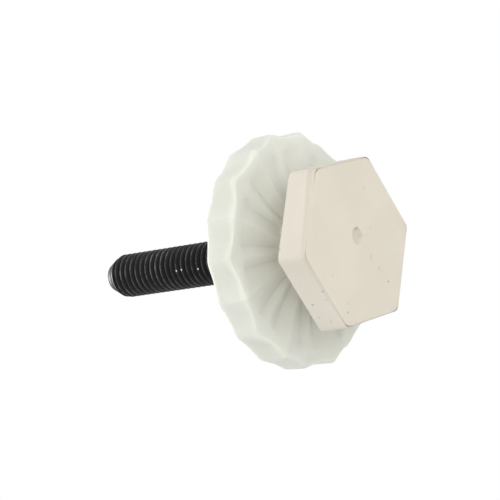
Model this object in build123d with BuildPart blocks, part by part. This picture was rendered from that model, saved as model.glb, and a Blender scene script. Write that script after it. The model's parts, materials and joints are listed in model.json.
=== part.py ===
"""Adjustable foot of a washing machine: a moulded hexagonal foot on a threaded stud, with a lock nut.

The origin is the centre of the foot's floor face, and the stud points up along +Z.
Lengths are in millimetres and angles in degrees.
"""
import os
from math import atan2, cos, degrees, radians, sin, tan

from build123d import *

os.makedirs("parts", exist_ok=True)

# Hexagonal foot, moulded round the lower end of the stud
foot_sides = 6
foot_across_flats = 34.0
foot_height = 7.2
foot_corner_radius = 1.8
foot_floor_edge_radius = 0.5
foot_upper_bevel = 0.4
gate_mark_diameter = 3.8
gate_mark_depth = 0.4
socket_floor = 2.0

# Threaded stud, with its thread drawn as flat-sided rings, further apart than the real turns
stud_diameter = 9.84
stud_root_diameter = 8.2
stud_rings = 24
stud_ring_sides = 24
stud_free_length = 61.2
stud_tip_diameter = 6.3
stud_tip_length = 3.2

# Lock nut that is turned by hand against the machine's base plate
nut_above_foot = 6.1
nut_height = 7.5
nut_turn = 64.8
nut_running_clearance = 0.05
nut_bore_chamfer = 0.8

# Rim of the nut: lobes with hollow grips between them
rim_lobes = 18
rim_diameter = 51.3
rim_back_diameter = 50.9
grip_depth = 1.0
grip_back_depth = 0.6
grip_radius = 15.0
rim_back_chamfer = 0.5

# Face of the nut towards the foot: a fan of sharp folds, with two pockets in each on either side of a rib
fan_folds = 9
fold_depth_at_rim = 1.2
fold_opening = 0.5
pocket_apothem = 22.2
pocket_depth = 1.9
pocket_low_share = 0.3
hub_apothem = 9.0

# Sizes worked out from the ones above
stud_radius = stud_diameter / 2
stud_top = foot_height + stud_free_length
nut_face = foot_height + nut_above_foot
nut_back = nut_face + nut_height
nut_bore_radius = stud_radius + nut_running_clearance
rim_radius = rim_diameter / 2
rim_back_radius = rim_back_diameter / 2

# Hexagonal foot: a prism with rounded corners, a blind socket for the stud and a gate mark
with BuildPart() as hex_foot:
    with BuildSketch() as foot_outline:
        RegularPolygon(foot_across_flats / 2, foot_sides, major_radius=False)
        fillet(foot_outline.vertices(), foot_corner_radius)
    extrude(amount=foot_height)
    floor_face = hex_foot.faces().sort_by(Axis.Z)[0]
    upper_face = hex_foot.faces().sort_by(Axis.Z)[-1]
    fillet(floor_face.edges(), foot_floor_edge_radius)
    chamfer(upper_face.edges(), foot_upper_bevel)
    # The gate mark is a shallow cap of a sphere sunk in the floor face.
    gate_sphere_radius = (gate_mark_diameter**2 / 4 + gate_mark_depth**2) / (2 * gate_mark_depth)
    with Locations((0, 0, gate_mark_depth - gate_sphere_radius)):
        Sphere(gate_sphere_radius, mode=Mode.SUBTRACT)
    # The stud sits in the socket that the plastic forms round it.
    with BuildSketch(Plane.XY.offset(foot_height)):
        Circle(stud_radius)
    extrude(amount=socket_floor - foot_height, mode=Mode.SUBTRACT)
hex_foot.part.label = "hex_foot"
export_step(hex_foot.part, "parts/hex_foot.step")


def flat_faced(sections):
    """Make a solid whose sections, lists of matching corners, are joined by flat faces and closed at both ends."""
    faces = [Face(Wire.make_polygon(sections[0])), Face(Wire.make_polygon(sections[-1]))]
    for near, far in zip(sections, sections[1:]):
        for corner in range(len(near)):
            faces.append(Face(Wire.make_polygon([near[corner - 1], near[corner], far[corner], far[corner - 1]])))
    return Solid(Shell(faces))


def stud_section(height, radius):
    """Give the corners of the stud's flat-sided outline at one height."""
    turns = [radians(360 * side / stud_ring_sides) for side in range(stud_ring_sides)]
    return [(radius * cos(turn), radius * sin(turn), height) for turn in turns]


# Threaded stud: a round end in the foot's socket, then the rings of the thread and a tapered tip
ring_spacing = (stud_free_length - stud_tip_length) / stud_rings
stud_sections = [stud_section(foot_height, stud_radius)]
for ring in range(stud_rings):
    ring_start = foot_height + ring * ring_spacing
    stud_sections.append(stud_section(ring_start + ring_spacing / 2, stud_root_diameter / 2))
    stud_sections.append(stud_section(ring_start + ring_spacing, stud_radius))
stud_sections.append(stud_section(stud_top, stud_tip_diameter / 2))

with BuildPart() as threaded_stud:
    with BuildSketch(Plane.XY.offset(socket_floor)):
        Circle(stud_radius)
    extrude(amount=foot_height - socket_floor)
    add(flat_faced(stud_sections))
threaded_stud.part.label = "threaded_stud"
export_step(threaded_stud.part, "parts/threaded_stud.step")


def fold_depth(distance):
    """Give the depth of a fold's valley at a distance from the axis: the folds run out at the axis."""
    return fold_depth_at_rim * distance / rim_radius


def fold_section(distance, *valley):
    """Give the corners of the cut of one fold at a distance from the axis: a valley open towards the foot."""
    half_width = distance * tan(radians(180 / fan_folds))
    open_height = nut_face - fold_opening
    return [
        (distance, -half_width - fold_opening, open_height),
        (distance, -half_width, nut_face),
        *[(distance, share * half_width, nut_face + depth) for share, depth in valley],
        (distance, half_width, nut_face),
        (distance, half_width + fold_opening, open_height),
    ]


# One fold of the fan: a shallow valley over the rim, and two pockets with a rib between them towards the hub
rim_fold = flat_faced([fold_section(d, (0, fold_depth(d))) for d in (pocket_apothem, rim_diameter)])
hub_sections = []
for distance in (hub_apothem, pocket_apothem):
    low = pocket_depth * distance / pocket_apothem
    rib = fold_depth(distance)
    hub_sections.append(fold_section(distance, (-pocket_low_share, low), (0, rib), (pocket_low_share, low)))
hub_fold = flat_faced(hub_sections)

# Lock nut: the lobed disc, its folded face and the bore that runs on the stud
with BuildPart() as lock_nut:
    with Locations((0, 0, nut_face)):
        Cone(rim_radius, rim_back_radius, nut_height, align=(Align.CENTER, Align.CENTER, Align.MIN))
    # The hollow grips between the lobes lean outwards, so they are shallower at the back.
    grip_front = rim_radius - grip_depth
    grip_back = rim_back_radius - grip_back_depth
    grip_lean = degrees(atan2(grip_back - grip_front, nut_height))
    grip_axis = (grip_front + grip_back) / 2 + grip_radius
    with Locations((0, 0, (nut_face + nut_back) / 2)):
        with PolarLocations(grip_axis, rim_lobes, start_angle=nut_turn + 180 / rim_lobes):
            Cylinder(grip_radius, 2 * nut_height, rotation=(0, grip_lean, 0), mode=Mode.SUBTRACT)
    with PolarLocations(0, fan_folds, start_angle=nut_turn):
        add(rim_fold, mode=Mode.SUBTRACT)
        add(hub_fold, mode=Mode.SUBTRACT)
    # The bevel round the back edge keeps the lobes' corners off the hand.
    with BuildSketch(Plane.XZ):
        with BuildLine():
            Polyline(
                (rim_back_radius - rim_back_chamfer, nut_back),
                (rim_diameter, nut_back),
                (rim_diameter, nut_back - rim_diameter + rim_back_radius - rim_back_chamfer),
                close=True,
            )
        make_face()
    revolve(axis=Axis.Z, mode=Mode.SUBTRACT)
    # The bore is bevelled at both ends so that the nut starts easily on the thread.
    with BuildSketch(Plane.XZ):
        with BuildLine():
            Polyline(
                (0, nut_face),
                (nut_bore_radius + nut_bore_chamfer, nut_face),
                (nut_bore_radius, nut_face + nut_bore_chamfer),
                (nut_bore_radius, nut_back - nut_bore_chamfer),
                (nut_bore_radius + nut_bore_chamfer, nut_back),
                (0, nut_back),
                close=True,
            )
        make_face()
    revolve(axis=Axis.Z, mode=Mode.SUBTRACT)
lock_nut.part.label = "lock_nut"
export_step(lock_nut.part, "parts/lock_nut.step")
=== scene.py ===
# %% [markdown]
# This lesson dresses the adjustable foot of a washing machine: a hexagonal plastic foot,
# a black threaded stud that stands in it, and a pale nylon lock nut that runs on the stud.
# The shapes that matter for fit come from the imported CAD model, which is loaded first and never moved.
# Everything below is in metres, in the same frame: the floor face is at height 0 and the stud points up.

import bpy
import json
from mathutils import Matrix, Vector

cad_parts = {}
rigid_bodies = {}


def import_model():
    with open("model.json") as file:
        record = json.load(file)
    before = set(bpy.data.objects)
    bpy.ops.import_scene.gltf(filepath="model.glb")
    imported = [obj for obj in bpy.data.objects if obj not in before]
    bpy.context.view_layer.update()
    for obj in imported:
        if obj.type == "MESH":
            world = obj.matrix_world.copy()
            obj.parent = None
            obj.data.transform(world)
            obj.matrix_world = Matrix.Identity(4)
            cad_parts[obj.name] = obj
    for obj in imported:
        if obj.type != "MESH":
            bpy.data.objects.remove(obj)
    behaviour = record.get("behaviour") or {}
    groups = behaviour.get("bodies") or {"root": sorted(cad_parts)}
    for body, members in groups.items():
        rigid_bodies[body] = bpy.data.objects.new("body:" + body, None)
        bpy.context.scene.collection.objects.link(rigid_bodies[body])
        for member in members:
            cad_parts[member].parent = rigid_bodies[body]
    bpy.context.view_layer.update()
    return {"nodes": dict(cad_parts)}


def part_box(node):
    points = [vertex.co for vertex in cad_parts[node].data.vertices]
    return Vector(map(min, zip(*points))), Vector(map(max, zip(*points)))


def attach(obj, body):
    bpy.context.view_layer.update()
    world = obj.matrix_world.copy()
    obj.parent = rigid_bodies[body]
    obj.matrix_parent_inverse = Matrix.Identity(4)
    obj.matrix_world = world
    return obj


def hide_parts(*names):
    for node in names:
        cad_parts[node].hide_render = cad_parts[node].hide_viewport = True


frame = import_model()
print("frame nodes:", sorted(frame["nodes"]))

# %% [markdown]
# The rest of the tools come next, with one value that the whole lesson uses.
# Sizes are easier to read in millimetres, so they are written as a number times MM.

# %% Tools and units
import json
from math import atan2, cos, pi, radians, sin, sqrt, tan

import bpy
import numpy as np
from mathutils import Matrix, Vector

MM = 0.001
scene = bpy.context.scene
scene.view_settings.view_transform = "Standard"
foot_low, foot_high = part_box("hex_foot")
nut_low, nut_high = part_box("lock_nut")
stud_low, stud_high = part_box("threaded_stud")
for node in ("hex_foot", "lock_nut", "threaded_stud"):
    low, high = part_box(node)
    print(node, "from", round(low[2] / MM, 2), "to", round(high[2] / MM, 2), "mm above the floor")

# %% [markdown]
# The picture looks up at the foot from below the floor, with the stud lying to the left.
# A camera's matrix is three directions and a place: its right, its up and the way back to it.
# Writing those directions down is clearer than three turning angles when the camera is rolled like this.
# A long lens keeps the hexagon's far edges almost as large as its near ones, as in the photograph.

# %% Camera
picture_right = Vector((-0.126652, -0.614804, -0.778444))
picture_up = Vector((-0.931136, 0.344233, -0.120375))
picture_back = Vector((0.341973, 0.709591, -0.616064))
camera_place = Vector((0.163105, 0.342068, -0.267522))

lens = bpy.data.cameras.new("lens")
lens.sensor_width = 36.0
lens.lens = 158.4
lens.clip_start = 0.01
camera = bpy.data.objects.new("camera", lens)
scene.collection.objects.link(camera)
turn = Matrix((picture_right, picture_up, picture_back)).transposed().to_4x4()
camera.matrix_world = Matrix.Translation(camera_place) @ turn
scene.camera = camera
print("camera stands", round(camera_place.length, 3), "m from the foot")

# %% [markdown]
# Node trees are built from a few small helpers: one sets a socket or links to it,
# and one adds a sum. The same two serve materials, the world and Geometry Nodes.

# %% Helpers for node trees
def feed(tree, socket, value):
    """Link a socket to another node's output, or set it to a plain value."""
    if isinstance(value, bpy.types.NodeSocket):
        tree.links.new(value, socket)
    else:
        socket.default_value = value


def sum_node(tree, operation, *values):
    """Add a Math node and give its result."""
    node = tree.nodes.new("ShaderNodeMath")
    node.operation = operation
    for socket, value in zip(node.inputs, values):
        feed(tree, socket, value)
    return node.outputs[0]


# %% [markdown]
# The photograph was taken in soft light from all round. The world gives an even part of it.
# What the camera, and anything shiny, sees of the world is plain white, which makes the white background.
# Large, weak lamps give the rest: most from the front and the upper left, and less from the other sides.
# Each is given by its way in the picture, to the right, up and to the front, and its power in watts.
# Light is additive, so their strengths can be found by rendering each alone and fitting the sum.
# A broad light straight overhead does little for the main picture, but keeps the floor white from above.

# %% World and lamps
WORLD_LIGHT = 0.38

world = bpy.data.worlds.new("studio")
scene.world = world
world.use_nodes = True
sky = world.node_tree
sky.nodes.clear()
soft_light = sky.nodes.new("ShaderNodeBackground")
soft_light.inputs["Color"].default_value = (1, 1, 1, 1)
soft_light.inputs["Strength"].default_value = WORLD_LIGHT
white_ground = sky.nodes.new("ShaderNodeBackground")
white_ground.inputs["Color"].default_value = (1, 1, 1, 1)
white_ground.inputs["Strength"].default_value = 1.0
rays = sky.nodes.new("ShaderNodeLightPath")
seen = sum_node(sky, "MAXIMUM", rays.outputs["Is Camera Ray"], rays.outputs["Is Glossy Ray"])
seen = sum_node(sky, "MAXIMUM", seen, rays.outputs["Is Transmission Ray"])
either = sky.nodes.new("ShaderNodeMixShader")
sky_end = sky.nodes.new("ShaderNodeOutputWorld")
feed(sky, either.inputs[0], seen)
feed(sky, either.inputs[1], soft_light.outputs[0])
feed(sky, either.inputs[2], white_ground.outputs[0])
feed(sky, sky_end.inputs["Surface"], either.outputs[0])

LAMP_DISTANCE = 0.6
LAMP_SIZE = 0.5
OVERHEAD_POWER = 2.1
OVERHEAD_SPREAD = radians(25)


def soft_lamp(name, to_right, to_top, to_front, power):
    """Hang a square lamp round the object, placed by the picture's own directions."""
    way = (picture_right * to_right + picture_up * to_top + picture_back * to_front).normalized()
    light = bpy.data.lights.new(name, "AREA")
    light.energy = power
    light.size = LAMP_SIZE
    lamp = bpy.data.objects.new(name, light)
    lamp.location = way * LAMP_DISTANCE
    lamp.rotation_euler = way.to_track_quat("Z", "Y").to_euler()
    lamp.visible_camera = False
    scene.collection.objects.link(lamp)


LAMPS = [
    ("front_lamp", 0.0, 0.0, 1.0, 1.48),
    ("upper_left_lamp", -0.7, 0.7, 0.6, 1.25),
    ("upper_lamp", 0.0, 1.0, 0.15, 0.33),
    ("upper_right_lamp", 0.7, 0.7, 0.6, 0.96),
    ("right_lamp", 1.0, 0.0, 0.25, 0.20),
    ("far_right_lamp", 1.0, 0.0, -0.5, 0.72),
    ("lower_lamp", 0.0, -1.0, 0.15, 0.90),
    ("lower_left_lamp", -0.7, -0.7, 0.6, 0.36),
]
for name, to_right, to_top, to_front, power in LAMPS:
    soft_lamp(name, to_right, to_top, to_front, power)

overhead_light = bpy.data.lights.new("overhead_light", "SUN")
overhead_light.energy = OVERHEAD_POWER
overhead_light.angle = OVERHEAD_SPREAD
scene.collection.objects.link(bpy.data.objects.new("overhead_light", overhead_light))

# %% [markdown]
# The floor is only for views from above, where it catches the foot's shadow.
# The main picture is taken from below it, so the floor shows only its upper side, and only to the camera:
# every other ray passes through it, and light still reaches the sole.

# %% Floor
FLOOR_HALF = 1.5
FLOOR_DROP = 0.05 * MM

floor_mesh = bpy.data.meshes.new("floor")
corners = [(-1, -1), (1, -1), (1, 1), (-1, 1)]
floor_points = [(x * FLOOR_HALF, y * FLOOR_HALF, foot_low[2] - FLOOR_DROP) for x, y in corners]
floor_mesh.from_pydata(floor_points, [], [(0, 1, 2, 3)])
floor = bpy.data.objects.new("floor", floor_mesh)
scene.collection.objects.link(floor)

floor_paint = bpy.data.materials.new("floor_paint")
floor_paint.use_nodes = True
coat = floor_paint.node_tree
coat.nodes.clear()
matt = coat.nodes.new("ShaderNodeBsdfDiffuse")
matt.inputs["Color"].default_value = (0.93, 0.93, 0.92, 1)
clear = coat.nodes.new("ShaderNodeBsdfTransparent")
floor_rays = coat.nodes.new("ShaderNodeLightPath")
side = coat.nodes.new("ShaderNodeNewGeometry")
upper_side = sum_node(coat, "SUBTRACT", 1.0, side.outputs["Backfacing"])
shown = sum_node(coat, "MULTIPLY", upper_side, floor_rays.outputs["Is Camera Ray"])
floor_mix = coat.nodes.new("ShaderNodeMixShader")
floor_end = coat.nodes.new("ShaderNodeOutputMaterial")
feed(coat, floor_mix.inputs[0], shown)
feed(coat, floor_mix.inputs[1], clear.outputs[0])
feed(coat, floor_mix.inputs[2], matt.outputs[0])
feed(coat, floor_end.inputs["Surface"], floor_mix.outputs[0])
floor_mesh.materials.append(floor_paint)
print("floor is", 2 * FLOOR_HALF, "m wide")

# %% [markdown]
# Each finish is one Principled shader with a few noise patterns on Object coordinates.
# These helpers open such a material and add a pattern, a blend of two colours, small marks or a bump.

# %% Helpers for finishes
def open_finish(name):
    """Make a material and give it with its tree, its shader and the object's own coordinates."""
    material = bpy.data.materials.new(name)
    material.use_nodes = True
    tree = material.node_tree
    shader = tree.nodes["Principled BSDF"]
    place = tree.nodes.new("ShaderNodeTexCoord").outputs["Object"]
    return material, tree, shader, place


def cloud(tree, place, scale, detail=2.0, roughness=0.5):
    """Add a noise pattern and give its strength."""
    noise = tree.nodes.new("ShaderNodeTexNoise")
    feed(tree, noise.inputs["Vector"], place)
    noise.inputs["Scale"].default_value = scale
    noise.inputs["Detail"].default_value = detail
    noise.inputs["Roughness"].default_value = roughness
    return noise.outputs["Fac"]


def ranged(tree, value, low, high, to_low=0.0, to_high=1.0):
    """Map a value from one range to another, smoothly and clamped."""
    node = tree.nodes.new("ShaderNodeMapRange")
    node.interpolation_type = "SMOOTHSTEP"
    feed(tree, node.inputs["Value"], value)
    node.inputs["From Min"].default_value = low
    node.inputs["From Max"].default_value = high
    node.inputs["To Min"].default_value = to_low
    node.inputs["To Max"].default_value = to_high
    return node.outputs["Result"]


def blend_colours(tree, share, first, second):
    """Blend two colours by a share from 0 to 1."""
    node = tree.nodes.new("ShaderNodeMix")
    node.data_type = "RGBA"
    feed(tree, node.inputs["Factor"], share)
    feed(tree, node.inputs[6], first)
    feed(tree, node.inputs[7], second)
    return node.outputs[2]


def ball_marks(tree, place, balls, core_share):
    """Mark where the surface passes through small balls, given in millimetres, each with its own strength."""
    marks = None
    for x, y, z, radius, strength in balls:
        gap = tree.nodes.new("ShaderNodeVectorMath")
        gap.operation = "DISTANCE"
        feed(tree, gap.inputs[0], place)
        gap.inputs[1].default_value = (x * MM, y * MM, z * MM)
        mark = ranged(tree, gap.outputs["Value"], core_share * radius * MM, radius * MM, strength, 0.0)
        marks = mark if marks is None else sum_node(tree, "MAXIMUM", marks, mark)
    return marks


def bump(tree, height, distance, strength):
    """Add a bump and give the normal that it makes."""
    node = tree.nodes.new("ShaderNodeBump")
    node.inputs["Strength"].default_value = strength
    node.inputs["Distance"].default_value = distance
    feed(tree, node.inputs["Height"], height)
    return node.outputs["Normal"]


# %% [markdown]
# The nut is natural nylon: a pale, slightly green plastic that lets some light through.
# Subsurface scattering gives that glow and lifts the shadows in the folds, and a faint cloud keeps it from
# looking like paint.

# %% Natural nylon
NYLON_LIGHT = (0.785, 0.792, 0.726, 1)
NYLON_DARK = (0.745, 0.755, 0.680, 1)

nylon, tree, shader, place = open_finish("natural_nylon")
tint = ranged(tree, cloud(tree, place, 70.0, 3.0), 0.35, 0.65)
colour = blend_colours(tree, tint, NYLON_LIGHT, NYLON_DARK)
feed(tree, shader.inputs["Base Color"], colour)
shader.inputs["Subsurface Weight"].default_value = 0.80
shader.inputs["Subsurface Radius"].default_value = (1.0, 1.0, 0.95)
shader.inputs["Subsurface Scale"].default_value = 1.60 * MM
shader.inputs["Specular IOR Level"].default_value = 0.20
rough = ranged(tree, cloud(tree, place, 300.0), 0.3, 0.7, 0.42, 0.54)
feed(tree, shader.inputs["Roughness"], rough)
skin = bump(tree, cloud(tree, place, 1400.0, 2.0), 0.03 * MM, 0.25)
feed(tree, shader.inputs["Normal"], skin)
print("finish:", nylon.name)

# %% [markdown]
# The foot is cream plastic with a matt skin. A handled foot has a few pits and dirty specks, and the dent
# where the plastic ran into the mould gets painted shade on its upper and right wall, as two more specks.
# Each speck is a small ball in space, given by its
# place, its radius and how strong it is: where the surface passes through it, the colour darkens.
# The lowest, rounded part of the sides is darkened with painted shade, which tones down the highlight there.

# %% Cream plastic
SOLE_SPECKS_AND_GATE_SHADE = [
    (4.8, -12.2, 0.0, 0.34, 0.60),
    (10.4, 7.0, 0.0, 0.45, 0.16),
    (3.1, -8.5, 0.0, 0.60, 0.16),
    (1.7, -5.2, 0.0, 0.90, 0.10),
    (-4.4, -3.8, 0.0, 0.60, 0.08),
    (-12.1, 0.2, 0.0, 0.70, 0.08),
    (14.2, 0.6, 0.0, 0.45, 0.14),
    (16.2, 0.5, 0.1, 0.40, 0.45),
    # The next two are painted shade in the gate mark's dent, on its upper and right wall.
    (-2.55, 0.82, 0.3, 0.75, 0.20),
    (-1.70, -1.18, 0.3, 0.70, 0.12),
]
SIDE_SPECKS = [
    (16.0, 6.3, 4.9, 0.42, 0.42),
    (14.5, 8.9, 0.6, 0.50, 0.28),
    (15.6, 7.0, 0.8, 0.40, 0.18),
    (7.4, 17.0, 6.8, 0.38, 0.42),
    (18.4, 2.1, 2.8, 0.45, 0.20),
    (17.7, 3.3, 5.3, 0.45, 0.18),
]

SOLE_LIGHT = (0.772, 0.718, 0.610, 1)
SOLE_DARK = (0.742, 0.688, 0.578, 1)
SIDE_LIGHT = (0.772, 0.722, 0.636, 1)
SIDE_DARK = (0.745, 0.695, 0.606, 1)
PAINTED_EDGE_SHADE = (0.56, 0.50, 0.40, 1)
GRAIN = (0.50, 0.45, 0.36, 1)
DIRT_AND_GATE_SHADE = (0.17, 0.14, 0.10, 1)
EDGE_SHADE_SLANT = 0.06

cream, tree, shader, place = open_finish("cream_plastic")
shade = ranged(tree, cloud(tree, place, 60.0, 3.0), 0.35, 0.65)
colour = blend_colours(tree, shade, SOLE_LIGHT, SOLE_DARK)
split = tree.nodes.new("ShaderNodeSeparateXYZ")
feed(tree, split.inputs[0], place)
over_floor = split.outputs[2]
# Painted shade: the lowest strip of the sides, slanting a little across the foot, is darkened.
edge_shade_height = sum_node(tree, "MULTIPLY_ADD", split.outputs[0], EDGE_SHADE_SLANT, over_floor)
on_side = ranged(tree, over_floor, 0.02 * MM, 0.10 * MM)
colour = blend_colours(tree, on_side, colour, blend_colours(tree, shade, SIDE_LIGHT, SIDE_DARK))
edge_shade = sum_node(tree, "MULTIPLY", on_side, ranged(tree, edge_shade_height, 1.1 * MM, 1.8 * MM, 0.40, 0.0))
colour = blend_colours(tree, edge_shade, colour, PAINTED_EDGE_SHADE)
grain = ranged(tree, cloud(tree, place, 700.0, 2.0), 0.66, 0.80, 0.0, 0.10)
colour = blend_colours(tree, grain, colour, GRAIN)
# The specks are dirt and pits, apart from the two in the gate dent, which are painted shade.
specks = ball_marks(tree, place, SOLE_SPECKS_AND_GATE_SHADE + SIDE_SPECKS, 0.35)
colour = blend_colours(tree, specks, colour, DIRT_AND_GATE_SHADE)
feed(tree, shader.inputs["Base Color"], colour)
shader.inputs["Specular IOR Level"].default_value = 0.30
shader.inputs["Subsurface Weight"].default_value = 0.12
shader.inputs["Subsurface Radius"].default_value = (1.0, 0.9, 0.7)
shader.inputs["Subsurface Scale"].default_value = 0.8 * MM
rough = ranged(tree, cloud(tree, place, 250.0), 0.3, 0.7, 0.50, 0.64)
feed(tree, shader.inputs["Roughness"], rough)
skin = bump(tree, cloud(tree, place, 900.0, 3.0), 0.05 * MM, 0.30)
feed(tree, shader.inputs["Normal"], skin)
print("finish:", cream.name, "with", len(SOLE_SPECKS_AND_GATE_SHADE) + len(SIDE_SPECKS), "specks")

# %% [markdown]
# The stud is steel with a black phosphate coat. The crests of its thread are painted greyer in patches,
# partly for wear and partly as a painted highlight, and they are smoother than the flanks. The thread's own
# mesh will carry a number named crest, from 0 in the root to 1 on the crest, and the finish reads it. Three
# small near-white spots are painted glints: painted highlights.

# %% Black steel
# Painted highlights: three small near-white glints on the stud.
STUD_GLINTS = [
    (2.56, 4.12, 46.60, 0.34, 1.0),
    (2.52, 4.15, 45.13, 0.38, 1.0),
    (2.81, 3.96, 40.30, 0.28, 1.0),
]
COAT_DARK = (0.006, 0.006, 0.007, 1)
COAT_LIGHT = (0.014, 0.013, 0.013, 1)
CREST_WEAR_AND_HIGHLIGHT = (0.16, 0.16, 0.16, 1)
PAINTED_GLINT = (0.75, 0.75, 0.75, 1)

steel, tree, shader, place = open_finish("black_steel")
crest = tree.nodes.new("ShaderNodeAttribute")
crest.attribute_name = "crest"
# Painted highlight and wear: patches where the crests are lightened.
wear_and_highlight_patches = ranged(tree, cloud(tree, place, 420.0, 3.0, 0.65), 0.34, 0.66, 0.05, 1.0)
wear_and_highlight_patches = sum_node(tree, "MULTIPLY", wear_and_highlight_patches, ranged(tree, cloud(tree, place, 110.0, 2.0), 0.35, 0.65, 0.35, 1.0))
crest_wear_and_highlight = sum_node(tree, "MULTIPLY", ranged(tree, crest.outputs["Fac"], 0.80, 1.0), wear_and_highlight_patches)
coat_tone = blend_colours(tree, cloud(tree, place, 160.0, 3.0), COAT_DARK, COAT_LIGHT)
colour = blend_colours(tree, crest_wear_and_highlight, coat_tone, CREST_WEAR_AND_HIGHLIGHT)
# Painted highlights: the glints are painted near white.
painted_glints = ball_marks(tree, place, STUD_GLINTS, 0.5)
colour = blend_colours(tree, painted_glints, colour, PAINTED_GLINT)
feed(tree, shader.inputs["Base Color"], colour)
feed(tree, shader.inputs["Roughness"], ranged(tree, crest_wear_and_highlight, 0.0, 1.0, 0.55, 0.34))
shader.inputs["Specular IOR Level"].default_value = 0.25
skin = bump(tree, cloud(tree, place, 1600.0, 2.0), 0.02 * MM, 0.35)
feed(tree, shader.inputs["Normal"], skin)
print("finish:", steel.name)

# %% [markdown]
# The foot and the nut start as rings of points joined by faces, like a pot on a wheel.
# One helper takes the rings in order, closes the first and last ring with a middle point or with each other,
# and leaves the object at the origin with its place in its mesh.

# %% Helper that joins rings
def rings_to_object(name, rings, closed_ends):
    """Join rings of points into one closed skin, capped at both ends or looped round to the first ring."""
    count = len(rings[0])
    points = [tuple(p) for ring in rings for p in ring]
    faces = []
    last = len(rings) - 1 if closed_ends else len(rings)
    for i in range(last):
        a = i * count
        b = (i + 1) % len(rings) * count
        for j in range(count):
            k = (j + 1) % count
            faces.append((a + j, a + k, b + k, b + j))
    if closed_ends:
        for ring, start, flip in ((rings[0], 0, True), (rings[-1], last * count, False)):
            middle = len(points)
            points.append(tuple(np.mean(np.array(ring), axis=0)))
            for j in range(count):
                k = (j + 1) % count
                ends = (start + k, start + j) if flip else (start + j, start + k)
                faces.append((*ends, middle))
    mesh = bpy.data.meshes.new(name)
    mesh.from_pydata(points, [], faces)
    mesh.update()
    piece = bpy.data.objects.new(name, mesh)
    scene.collection.objects.link(piece)
    return piece


def volume(mesh):
    """Give the volume inside a closed mesh: it is above zero when the faces point outwards."""
    mesh.calc_loop_triangles()
    at = np.array([v.co for v in mesh.vertices])
    tri = np.array([t.vertices for t in mesh.loop_triangles])
    return float(np.einsum("ij,ij->i", at[tri[:, 0]], np.cross(at[tri[:, 1]], at[tri[:, 2]])).sum() / 6)


def smooth_by_angle(mesh, degrees):
    """Shade a mesh smooth, apart from edges sharper than an angle."""
    mesh.polygons.foreach_set("use_smooth", [True] * len(mesh.polygons))
    mesh.set_sharp_from_angle(angle=radians(degrees))


# %% [markdown]
# The foot's outline is a hexagon with rounded corners. One function gives it at any width and rounding,
# always with the same number of points, so outlines of different sizes can be joined ring by ring.
# The sole is a slightly smaller, rounder hexagon than the foot: a fine groove runs between them,
# and it opens at the corners, where the photograph shows short dark creases.

# %% Outline of the foot
FOOT_SIDES = 6
FLAT_STEPS = 10
CORNER_STEPS = 8
foot_apothem = foot_high[1]


def hexagon(apothem, corner_radius, height):
    """Give the points of a rounded hexagon at one height."""
    ring = []
    half_angle = pi / FOOT_SIDES
    half_flat = (apothem - corner_radius) * tan(half_angle)
    centre_reach = (apothem - corner_radius) / cos(half_angle)
    for n in range(FOOT_SIDES):
        facing = half_angle + n * 2 * half_angle
        out = Vector((cos(facing), sin(facing)))
        along = Vector((-sin(facing), cos(facing)))
        for step in range(FLAT_STEPS + 1):
            spot = out * apothem + along * half_flat * (2 * step / FLAT_STEPS - 1)
            ring.append((spot.x, spot.y, height))
        corner = facing + half_angle
        for step in range(1, CORNER_STEPS):
            swing = facing + 2 * half_angle * step / CORNER_STEPS
            x = centre_reach * cos(corner) + corner_radius * cos(swing)
            y = centre_reach * sin(corner) + corner_radius * sin(swing)
            ring.append((x, y, height))
    return ring


def towards_circle(ring, radius, share, height):
    """Give a ring part of the way from an outline to a circle."""
    moved = []
    for x, y, z in ring:
        angle = atan2(y, x)
        reach = sqrt(x * x + y * y) * (1 - share) + radius * share
        moved.append((reach * cos(angle), reach * sin(angle), height))
    return moved


points_in_ring = FOOT_SIDES * (FLAT_STEPS + CORNER_STEPS)
print("foot is", round(2 * foot_apothem / MM, 1), "mm across flats,", points_in_ring, "points a ring")

# %% [markdown]
# The foot's skin goes from the bottom of the stud's socket, up and over the top face, down the sides,
# through the groove and across the sole to the middle of the gate mark.
# Each line of the list is one ring, in millimetres: how far out it is, how round its corners are and how
# high it lies. The groove's own two rings go deeper near the corners, which makes the creases.

# %% Upper side and wall of the foot
SOCKET_CLEARANCE = 0.02 * MM
SOCKET_BEVEL = 0.25 * MM
SOCKET_COLLAR = 2 * MM
UPPER_BEVEL = 0.4 * MM
UPPER_CORNER = 1.6 * MM
top = foot_high[2]
socket_floor = stud_low[2]
socket_radius = stud_high[0] + SOCKET_CLEARANCE

upper_outline = hexagon(foot_apothem - UPPER_BEVEL, UPPER_CORNER, top)
foot_rings = [
    towards_circle(upper_outline, socket_radius, 1.0, socket_floor),
    towards_circle(upper_outline, socket_radius, 1.0, 0.5 * (socket_floor + top)),
    towards_circle(upper_outline, socket_radius, 1.0, top - SOCKET_BEVEL),
    towards_circle(upper_outline, socket_radius + SOCKET_BEVEL, 1.0, top),
    towards_circle(upper_outline, socket_radius + SOCKET_COLLAR, 0.9, top),
    towards_circle(upper_outline, socket_radius + SOCKET_COLLAR, 0.5, top),
    towards_circle(upper_outline, socket_radius + SOCKET_COLLAR, 0.05, top),
    upper_outline,
]
WALL_AND_GROOVE = [
    (17.00, 1.60, 6.80),
    (17.00, 1.60, 5.20),
    (17.00, 1.60, 3.60),
    (17.00, 1.60, 2.20),
    (17.00, 1.60, 1.20),
    (16.98, 1.60, 0.90),
    (16.95, 1.60, 0.60),
    (16.90, 1.60, 0.33),
    (16.84, 1.60, 0.16),
    (16.76, 1.60, 0.10),
    (16.74, 1.62, 0.14),
    (16.67, 2.35, 0.14),
    (16.64, 2.40, 0.05),
    (16.56, 2.40, 0.00),
]
GROOVE_LINES = (10, 11)
CREASE_DEPTH = 0.5 * MM
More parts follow.
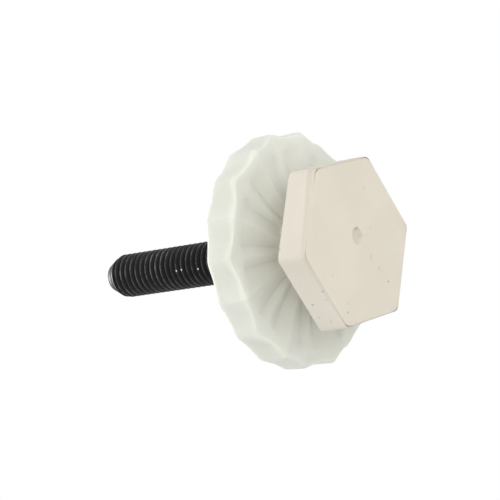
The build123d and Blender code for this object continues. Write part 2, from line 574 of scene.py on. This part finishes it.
CREASE_ANGLE = radians(5.0)
for line, (apothem, corner_radius, height) in enumerate(WALL_AND_GROOVE):
    ring = hexagon(apothem * MM, corner_radius * MM, height * MM)
    if line in GROOVE_LINES:
        deeper = []
        for x, y, z in ring:
            off_corner = abs((atan2(y, x) + pi / FOOT_SIDES) % (2 * pi / FOOT_SIDES) - pi / FOOT_SIDES)
            near_corner = max(0.0, 1.0 - off_corner / CREASE_ANGLE)
            deeper.append((x, y, z + CREASE_DEPTH * near_corner * (2.0 - near_corner)))
        ring = deeper
    foot_rings.append(ring)
sole_edge = foot_rings[-1]
print("upper side and wall:", len(foot_rings), "rings")

# %% [markdown]
# The sole is flat apart from the gate mark, where the plastic ran into the mould: a round dent, a little off
# the middle. A dent could be cut with a Boolean, but rings that change step by step from the hexagon to
# a circle, and move towards the dent as they do, give it clean faces in the same skin.

# %% Sole and gate mark
GATE_RADIUS = 1.9 * MM
GATE_DEPTH = 0.6 * MM
GATE_SHIFT = (-1.0 * MM, 0.37 * MM)
GATE_MARK = [(1.00, 0.0), (0.96, 0.14), (0.89, 0.52), (0.79, 0.82), (0.62, 0.96), (0.30, 1.0)]


def shifted(ring, share):
    """Move a ring of the sole part of the way to the gate mark, which lies a little off the middle."""
    return [(x + GATE_SHIFT[0] * share, y + GATE_SHIFT[1] * share, z) for x, y, z in ring]


for share in (0.12, 0.35, 0.6, 0.82, 0.93):
    foot_rings.append(shifted(towards_circle(sole_edge, GATE_RADIUS, share, 0.0), share))
for reach, sink in GATE_MARK:
    foot_rings.append(shifted(towards_circle(sole_edge, GATE_RADIUS * reach, 1.0, GATE_DEPTH * sink), 1.0))

foot_body = rings_to_object("foot_body", foot_rings, True)
if volume(foot_body.data) < 0:
    foot_body.data.flip_normals()
smooth_by_angle(foot_body.data, 32)
foot_body.data.materials.append(cream)
print("foot body:", len(foot_body.data.polygons), "faces,", round(volume(foot_body.data) * 1e6, 2), "cm3")

# %% [markdown]
# A thread follows a rule: the same tooth, carried round and up by one pitch a turn.
# A Grid in Geometry Nodes is rolled into a tube, with its rows slanted by one pitch so that they lie along
# the helix, and the tooth's shape comes from the position within a pitch.
# Two discs close the ends, and points that fall together are merged.

# %% Helpers for Geometry Nodes
def open_rule(name, sizes):
    """Start a Geometry Nodes tree with named inputs."""
    tree = bpy.data.node_groups.new(name, "GeometryNodeTree")
    tree.interface.new_socket("Geometry", in_out="OUTPUT", socket_type="NodeSocketGeometry")
    tree.interface.new_socket("Geometry", in_out="INPUT", socket_type="NodeSocketGeometry")
    for label, kind in sizes:
        tree.interface.new_socket(label, in_out="INPUT", socket_type=kind)
    return tree, tree.nodes.new("NodeGroupInput"), tree.nodes.new("NodeGroupOutput")


def close_rule(tree, shape, material, leave):
    """End a tree: make everything real, give it its finish and send it out."""
    real = tree.nodes.new("GeometryNodeRealizeInstances")
    paint = tree.nodes.new("GeometryNodeSetMaterial")
    feed(tree, real.inputs["Geometry"], shape)
    feed(tree, paint.inputs["Geometry"], real.outputs["Geometry"])
    feed(tree, paint.inputs["Material"], material)
    feed(tree, leave.inputs["Geometry"], paint.outputs["Geometry"])


def run_rule(piece, tree, values):
    """Run a tree on an object with the given sizes, and keep the result as its plain mesh."""
    rule = piece.modifiers.new(tree.name, "NODES")
    rule.node_group = tree
    for item in tree.interface.items_tree:
        if item.in_out == "INPUT" and item.name in values:
            rule[item.identifier] = values[item.name]
    graph = bpy.context.evaluated_depsgraph_get()
    made = bpy.data.meshes.new_from_object(piece.evaluated_get(graph), depsgraph=graph)
    piece.modifiers.remove(rule)
    piece.data = made
    made.name = piece.name
    if volume(made) < 0:
        made.flip_normals()


def joined_vector(tree, x, y, z):
    """Put three numbers together as a vector."""
    node = tree.nodes.new("ShaderNodeCombineXYZ")
    for socket, value in zip(node.inputs, (x, y, z)):
        feed(tree, socket, value)
    return node.outputs[0]


def split_vector(tree, vector):
    """Take a vector apart into its three numbers."""
    node = tree.nodes.new("ShaderNodeSeparateXYZ")
    feed(tree, node.inputs[0], vector)
    return node.outputs[0], node.outputs[1], node.outputs[2]


# %% [markdown]
# The rule itself reads like a sum done at every point of the grid: how far round it is, how high the helix
# has climbed there, where it lies within a pitch, and so how far out it goes. A real thread is cut or rolled,
# and its tooth has flat crests and roots. The crest's end and the root's start are shares of half a pitch.
# The thread fades out at the bottom, and a cone trims it at the tip.

# %% Rule of the thread
AROUND = 56
STEPS_PER_PITCH = 16
CREST_END = 0.125
ROOT_START = 0.75

tree, entry, leave = open_rule("stud_thread_rule", [
    ("Pitch", "NodeSocketFloat"),
    ("Turns", "NodeSocketInt"),
    ("Crest radius", "NodeSocketFloat"),
    ("Root radius", "NodeSocketFloat"),
    ("Bottom", "NodeSocketFloat"),
    ("Top", "NodeSocketFloat"),
    ("Tip radius", "NodeSocketFloat"),
    ("Tip length", "NodeSocketFloat"),
    ("Finish", "NodeSocketMaterial"),
])
size = entry.outputs
grid = tree.nodes.new("GeometryNodeMeshGrid")
grid.inputs["Size X"].default_value = 1.0
grid.inputs["Size Y"].default_value = 1.0
grid.inputs["Vertices X"].default_value = AROUND + 1
rows = sum_node(tree, "MULTIPLY_ADD", size["Turns"], STEPS_PER_PITCH, 1)
feed(tree, grid.inputs["Vertices Y"], rows)
across, up, _ = split_vector(tree, tree.nodes.new("GeometryNodeInputPosition").outputs[0])
around = sum_node(tree, "ADD", across, 0.5)
along = sum_node(tree, "MULTIPLY", sum_node(tree, "ADD", up, 0.5), size["Turns"])
climb = sum_node(tree, "SUBTRACT", sum_node(tree, "ADD", along, around), 1.0)
height = sum_node(tree, "MULTIPLY_ADD", climb, size["Pitch"], size["Bottom"])
height = sum_node(tree, "MINIMUM", sum_node(tree, "MAXIMUM", height, size["Bottom"]), size["Top"])
from_crest = sum_node(tree, "ABSOLUTE", sum_node(tree, "SUBTRACT", sum_node(tree, "FRACT", along), 0.5))
tooth = sum_node(tree, "MULTIPLY_ADD", from_crest, -2.0, ROOT_START)
tooth = sum_node(tree, "DIVIDE", tooth, ROOT_START - CREST_END)
tooth = sum_node(tree, "MINIMUM", sum_node(tree, "MAXIMUM", tooth, 0.0), 1.0)
over_bottom = sum_node(tree, "DIVIDE", sum_node(tree, "SUBTRACT", height, size["Bottom"]), size["Pitch"])
tooth = sum_node(tree, "MULTIPLY", tooth, sum_node(tree, "MINIMUM", over_bottom, 1.0))
depth = sum_node(tree, "SUBTRACT", size["Crest radius"], size["Root radius"])
reach = sum_node(tree, "MULTIPLY_ADD", tooth, depth, size["Root radius"])
slope = sum_node(tree, "SUBTRACT", size["Crest radius"], size["Tip radius"])
slope = sum_node(tree, "DIVIDE", slope, size["Tip length"])
below_top = sum_node(tree, "SUBTRACT", size["Top"], height)
cone = sum_node(tree, "MULTIPLY_ADD", below_top, slope, size["Tip radius"])
reach = sum_node(tree, "MINIMUM", reach, cone)
angle = sum_node(tree, "MULTIPLY", around, 2 * pi)
x = sum_node(tree, "MULTIPLY", reach, sum_node(tree, "COSINE", angle))
y = sum_node(tree, "MULTIPLY", reach, sum_node(tree, "SINE", angle))
print("thread rule has", len(tree.nodes), "nodes so far")

# %% [markdown]
# The crest's number is kept on the points for the finish, the grid is rolled up and the two ends are closed.
# The stud's length and width come from the frame. The pitch is that of a coarse M10 thread.

# %% Threaded stud
PITCH = 1.5 * MM
THREAD_DEPTH = 0.86 * MM
TIP_RADIUS = 3.15 * MM
TIP_LENGTH = 3.2 * MM
TINY = 0.001 * MM

keep_crest = tree.nodes.new("GeometryNodeStoreNamedAttribute")
keep_crest.data_type = "FLOAT"
keep_crest.domain = "POINT"
feed(tree, keep_crest.inputs["Geometry"], grid.outputs["Mesh"])
keep_crest.inputs["Name"].default_value = "crest"
feed(tree, keep_crest.inputs["Value"], tooth)
roll = tree.nodes.new("GeometryNodeSetPosition")
feed(tree, roll.inputs["Geometry"], keep_crest.outputs["Geometry"])
feed(tree, roll.inputs["Position"], joined_vector(tree, x, y, height))
whole = tree.nodes.new("GeometryNodeJoinGeometry")
tree.links.new(roll.outputs["Geometry"], whole.inputs["Geometry"])
for radius_name, height_name, facing_down in (("Tip radius", "Top", False), ("Root radius", "Bottom", True)):
    disc = tree.nodes.new("GeometryNodeMeshCircle")
    disc.fill_type = "NGON"
    disc.inputs["Vertices"].default_value = AROUND
    feed(tree, disc.inputs["Radius"], size[radius_name])
    lift = tree.nodes.new("GeometryNodeTransform")
    feed(tree, lift.inputs["Geometry"], disc.outputs["Mesh"])
    feed(tree, lift.inputs["Translation"], joined_vector(tree, 0.0, 0.0, size[height_name]))
    end = lift.outputs["Geometry"]
    if facing_down:
        turned = tree.nodes.new("GeometryNodeFlipFaces")
        feed(tree, turned.inputs["Mesh"], end)
        end = turned.outputs["Mesh"]
    tree.links.new(end, whole.inputs["Geometry"])
weld = tree.nodes.new("GeometryNodeMergeByDistance")
feed(tree, weld.inputs["Geometry"], whole.outputs["Geometry"])
weld.inputs["Distance"].default_value = TINY
close_rule(tree, weld.outputs["Geometry"], size["Finish"], leave)

stud_length = stud_high[2] - stud_low[2]
stud_thread = bpy.data.objects.new("stud_thread", bpy.data.meshes.new("stud_seed"))
scene.collection.objects.link(stud_thread)
run_rule(stud_thread, tree, {
    "Pitch": PITCH,
    "Turns": int(stud_length / PITCH) + 3,
    "Crest radius": stud_high[0],
    "Root radius": stud_high[0] - THREAD_DEPTH,
    "Bottom": stud_low[2],
    "Top": stud_high[2] - TINY,
    "Tip radius": TIP_RADIUS,
    "Tip length": TIP_LENGTH,
    "Finish": steel,
})
smooth_by_angle(stud_thread.data, 24)
print("stud:", len(stud_thread.data.polygons), "faces,", round(volume(stud_thread.data) * 1e6, 2), "cm3")

# %% [markdown]
# The lock nut also follows a rule. It starts as a plain turned ring, whose points carry four numbers:
# how deep the middle of a fold lies there, how deep the pockets beside it go, how deep the finger grips are,
# and how far the ring follows straight chords rather than a circle.
# Geometry Nodes then work out each point's angle within its fold and its grip, and move it.
# Across a fold, the face goes from a sharp ridge down into a pocket, up over a rib and back the same way.
# The list gives how deep the ridge, the rib and the pocket lie, in millimetres, at steps from hub to rim.

# %% Sizes of the nut
FOLDS = 9
LOBES = 18
NUT_TURN = radians(64.8)
POINTS_PER_LOBE = 24
POCKET_LOW_SHARE = 0.34
RUNNING_CLEARANCE = 0.05

nut_face = nut_low[2] / MM
nut_back = nut_high[2] / MM
bore = stud_high[0] / MM + RUNNING_CLEARANCE
rim_front, rim_back = 25.63, 25.43
rim_fold = 1.7
grip_front, grip_back = 1.0, 0.6

FACE_DEPTHS = [
    (9.00, 0.000, 0.200, 0.330),
    (9.30, 0.040, 0.200, 0.660),
    (11.00, 0.200, 0.280, 1.045),
    (14.00, 0.300, 0.440, 1.342),
    (17.00, 0.240, 0.624, 1.452),
    (19.50, 0.120, 0.760, 1.397),
    (20.80, 0.040, 0.880, 1.210),
    (21.80, 0.000, 0.960, 0.880),
]


def face_ring(flat, ridge, rib, low):
    """Give one ring of the folded face: how deep its ridges, its ribs and the pockets between them lie."""
    return (flat, nut_face + ridge, rib - ridge, low - ridge, 0.0, 1.0)


hub_flat = FACE_DEPTHS[0][0]
print("folded face from", hub_flat, "to", FACE_DEPTHS[-1][0], "mm, hub to rim")

# %% [markdown]
# Each ring is a row of six numbers: how far out and how high it lies, and the four numbers that it carries.
# They run from the bore over the hub and the folded face, round the front edge, up the wall and over
# the back. The folds run out on the way and the grips get shallower, as the back lies flat on the machine.

# %% Turned ring for the nut
BORE_BEVEL = 0.8
HUB_MIDDLE = 7.4
HUB_EDGE = 0.15
FRONT_ROUNDING = 1.4
BACK_BEVEL = 0.5
BACK_EDGE = 0.15
BACK_FADE = [(24.0, 0.4), (16.0, 0.0)]
ROUND_STEPS = 7

hub_rings = [(bore, nut_face + BORE_BEVEL, 0, 0, 0, 0), (bore + BORE_BEVEL, nut_face, 0, 0, 0, 0)]
hub_rings += [(HUB_MIDDLE, nut_face, 0, 0, 0, 0.5), (hub_flat - HUB_EDGE, nut_face, 0, 0, 0, 1)]
face_rings = [face_ring(*depths) for depths in FACE_DEPTHS]
rim_rings = []
no_pocket = rim_fold * (1 - POCKET_LOW_SHARE)
for step in range(ROUND_STEPS + 1):
    swing = step / ROUND_STEPS * pi / 2
    out = rim_front - FRONT_ROUNDING * (1 - sin(swing))
    drop = FRONT_ROUNDING * (1 - cos(swing))
    rim_rings.append((out, nut_face + drop, rim_fold, no_pocket, grip_front * sin(swing), 0))
for step in range(1, ROUND_STEPS + 1):
    share = step / ROUND_STEPS
    out = rim_front + (rim_back - rim_front) * share
    height = nut_face + FRONT_ROUNDING + (nut_back - nut_face - FRONT_ROUNDING - BACK_BEVEL) * share
    grip = grip_front + (grip_back - grip_front) * share
    fold = 1 - share
    rim_rings.append((out, height, rim_fold * fold, no_pocket * fold, grip, 0))
back_rings = [(rim_back - BACK_EDGE, nut_back - BACK_EDGE, 0, 0, grip_back, 0)]
back_rings += [(rim_back - BACK_BEVEL, nut_back, 0, 0, grip_back, 0)]
back_rings += [(reach, nut_back, 0, 0, grip, 0) for reach, grip in BACK_FADE]
back_rings += [(bore + BORE_BEVEL, nut_back, 0, 0, 0, 0), (bore, nut_back - BORE_BEVEL, 0, 0, 0, 0)]
back_rings += [(bore, 0.5 * (nut_face + nut_back), 0, 0, 0, 0)]
nut_rings = hub_rings + face_rings + rim_rings + back_rings

angles = [NUT_TURN + 2 * pi * n / (LOBES * POINTS_PER_LOBE) for n in range(LOBES * POINTS_PER_LOBE)]
turned_rings = [
    [(ring[0] * MM * cos(a), ring[0] * MM * sin(a), ring[1] * MM) for a in angles]
    for ring in nut_rings
]
lock_nut_body = rings_to_object("lock_nut_body", turned_rings, False)
CARRIED = [("rib_depth", 2, MM), ("pocket_depth", 3, MM), ("grip_depth", 4, MM), ("chord_share", 5, 1.0)]
for name, column, unit in CARRIED:
    values = [ring[column] * unit for ring in nut_rings for _ in angles]
    lock_nut_body.data.attributes.new(name, "FLOAT", "POINT").data.foreach_set("value", values)
print("turned ring:", len(nut_rings), "rings of", len(angles), "points")

# %% [markdown]
# The rule starts with angles. Wrapping a point's angle into one fold, and into one grip, lets the same sum
# serve every fold and every grip, which is how the mould maker would set them out with a dividing head.

# %% Rule of the folds, pockets and grips
tree, entry, leave = open_rule("lock_nut_rule", [
    ("Folds", "NodeSocketInt"),
    ("Lobes", "NodeSocketInt"),
    ("Turn", "NodeSocketFloat"),
    ("Pocket low share", "NodeSocketFloat"),
    ("Finish", "NodeSocketMaterial"),
])
size = entry.outputs


def carried(name):
    """Read a number that the turned ring's points carry."""
    node = tree.nodes.new("GeometryNodeInputNamedAttribute")
    node.data_type = "FLOAT"
    node.inputs["Name"].default_value = name
    return node.outputs["Attribute"]


at_x, at_y, at_z = split_vector(tree, tree.nodes.new("GeometryNodeInputPosition").outputs[0])
angle = sum_node(tree, "ARCTAN2", at_y, at_x)
squares = sum_node(tree, "MULTIPLY_ADD", at_x, at_x, sum_node(tree, "MULTIPLY", at_y, at_y))
reach = sum_node(tree, "SQRT", squares)
half_fold = sum_node(tree, "DIVIDE", pi, size["Folds"])
half_lobe = sum_node(tree, "DIVIDE", pi, size["Lobes"])
from_turn = sum_node(tree, "SUBTRACT", angle, size["Turn"])
in_fold = sum_node(tree, "WRAP", from_turn, half_fold, sum_node(tree, "MULTIPLY", half_fold, -1.0))
from_grip = sum_node(tree, "SUBTRACT", from_turn, half_lobe)
in_grip = sum_node(tree, "WRAP", from_grip, half_lobe, sum_node(tree, "MULTIPLY", half_lobe, -1.0))
print("rule of the nut: angles within a fold and a grip")

# %% [markdown]
# Two slopes meet in each pocket: one falls from the ridge and one from the rib. At each point the shallower
# counts, and a smooth minimum joins them with a small radius, as a moulded part has.
# The lobes between the grips are blunter over the ribs than over the ridges.
# Points on a chord are spread outwards to keep it straight.

# %% Lock nut
RIB_BLUNTNESS = 0.06
VALLEY_BLUNTNESS = 0.15 * MM
LOBE_BLUNTNESS = 0.5

to_ridge = sum_node(tree, "TANGENT", sum_node(tree, "ABSOLUTE", in_fold))
to_ridge = sum_node(tree, "DIVIDE", to_ridge, sum_node(tree, "TANGENT", half_fold))
blunt = sum_node(tree, "MULTIPLY_ADD", to_ridge, to_ridge, RIB_BLUNTNESS**2)
to_ridge = sum_node(tree, "MINIMUM", sum_node(tree, "SQRT", blunt), 1.0)
low_share = size["Pocket low share"]
rib, low = carried("rib_depth"), carried("pocket_depth")
off_rib = sum_node(tree, "DIVIDE", sum_node(tree, "SUBTRACT", low, rib), low_share)
off_rib = sum_node(tree, "MULTIPLY_ADD", to_ridge, off_rib, rib)
off_ridge = sum_node(tree, "DIVIDE", low, sum_node(tree, "SUBTRACT", 1.0, low_share))
off_ridge = sum_node(tree, "MULTIPLY", sum_node(tree, "SUBTRACT", 1.0, to_ridge), off_ridge)
folded = sum_node(tree, "SMOOTH_MIN", off_rib, off_ridge, VALLEY_BLUNTNESS)
height = sum_node(tree, "ADD", at_z, folded)
to_lobe = sum_node(tree, "DIVIDE", in_grip, half_lobe)
lobe_square = sum_node(tree, "MULTIPLY", to_lobe, to_lobe)
hollow = sum_node(tree, "SUBTRACT", 1.0, lobe_square)
blunt_lobe = sum_node(tree, "MULTIPLY_ADD", to_ridge, -LOBE_BLUNTNESS, 1.0)
blunt_lobe = sum_node(tree, "SUBTRACT", 1.0, sum_node(tree, "MULTIPLY", lobe_square, blunt_lobe))
hollow = sum_node(tree, "MULTIPLY", hollow, blunt_lobe)
chord = sum_node(tree, "SUBTRACT", sum_node(tree, "DIVIDE", 1.0, sum_node(tree, "COSINE", in_fold)), 1.0)
spread = sum_node(tree, "MULTIPLY_ADD", chord, carried("chord_share"), 1.0)
grip_cut = sum_node(tree, "MULTIPLY", hollow, carried("grip_depth"))
reach = sum_node(tree, "SUBTRACT", sum_node(tree, "MULTIPLY", reach, spread), grip_cut)
x = sum_node(tree, "MULTIPLY", reach, sum_node(tree, "COSINE", angle))
y = sum_node(tree, "MULTIPLY", reach, sum_node(tree, "SINE", angle))
press = tree.nodes.new("GeometryNodeSetPosition")
feed(tree, press.inputs["Geometry"], entry.outputs["Geometry"])
feed(tree, press.inputs["Position"], joined_vector(tree, x, y, height))
close_rule(tree, press.outputs["Geometry"], size["Finish"], leave)
run_rule(lock_nut_body, tree, {
    "Folds": FOLDS,
    "Lobes": LOBES,
    "Turn": NUT_TURN,
    "Pocket low share": POCKET_LOW_SHARE,
    "Finish": nylon,
})
smooth_by_angle(lock_nut_body.data, 24)
nut_mesh = lock_nut_body.data
print("lock nut:", len(nut_mesh.polygons), "faces,", round(volume(nut_mesh) * 1e6, 2), "cm3")

# %% [markdown]
# Each dressed piece now takes the place of its CAD solid and moves with that solid's body:
# the foot and its stud stay together, and the nut runs along the thread.

# %% Join the pieces to the frame
for piece, node, body, finish_slot in (
    (foot_body, "hex_foot", "foot", "foot_plastic"),
    (stud_thread, "threaded_stud", "foot", "black_steel"),
    (lock_nut_body, "lock_nut", "lock_nut", "natural_nylon"),
):
    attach(piece, body)
    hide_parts(node)
    print(piece.name, "stands for", node)
